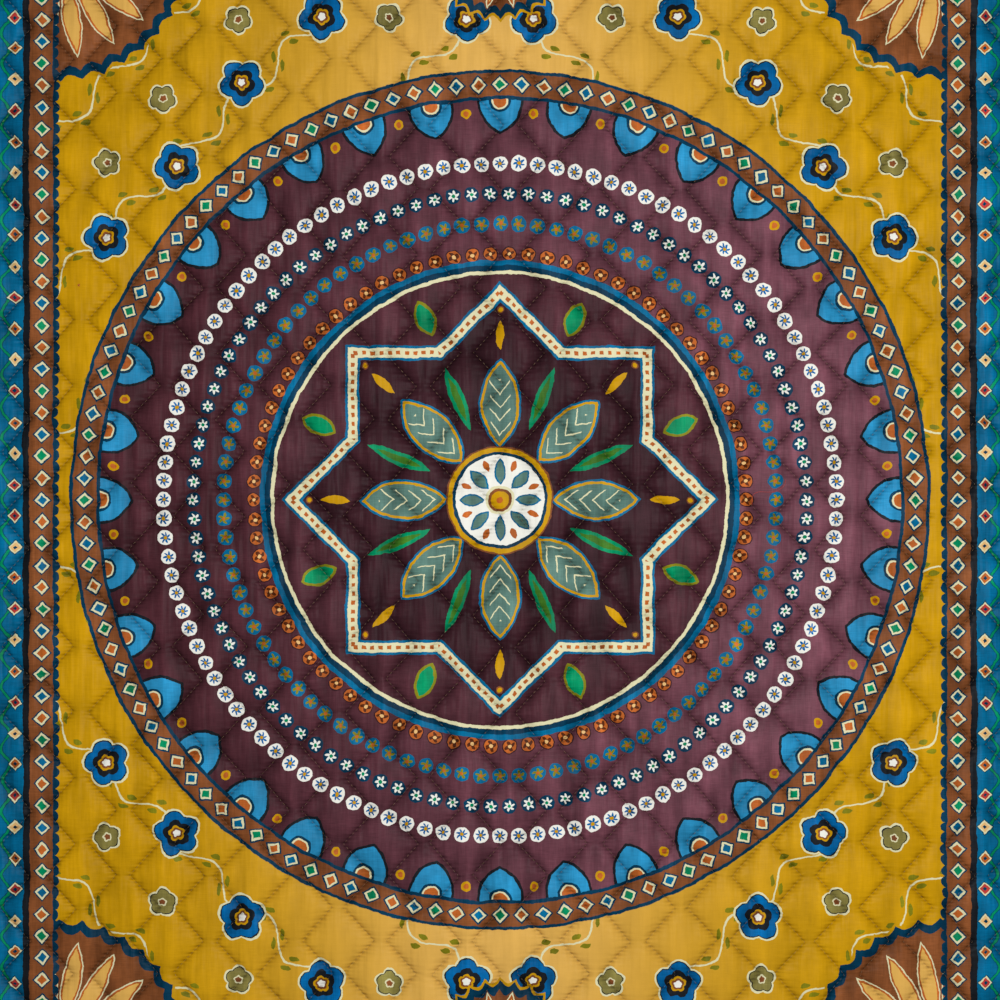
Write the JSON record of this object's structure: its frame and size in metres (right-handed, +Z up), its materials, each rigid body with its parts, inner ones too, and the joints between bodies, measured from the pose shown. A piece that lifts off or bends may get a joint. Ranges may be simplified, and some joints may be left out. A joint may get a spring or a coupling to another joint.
{
  "type": "quilted throw blanket",
  "caption": "Thin rectangular throw blanket, machine quilted in mirrored zigzag lines that enclose puffed diamonds, with a flat turned hem, lying flat.",
  "frame": {"origin": "middle of the rectangle, on the surface the blanket lies on", "axes": "+X across the width, +Y along the length, +Z up out of the printed face"},
  "size_m": [1.27, 1.524, 0.0095],
  "materials": {
    "quilted_cloth": "printed plain-woven cotton and silk, faint sheen"
  },
  "bodies": {
    "root": {"blanket": "quilted_cloth"}
  },
  "joints": []
}
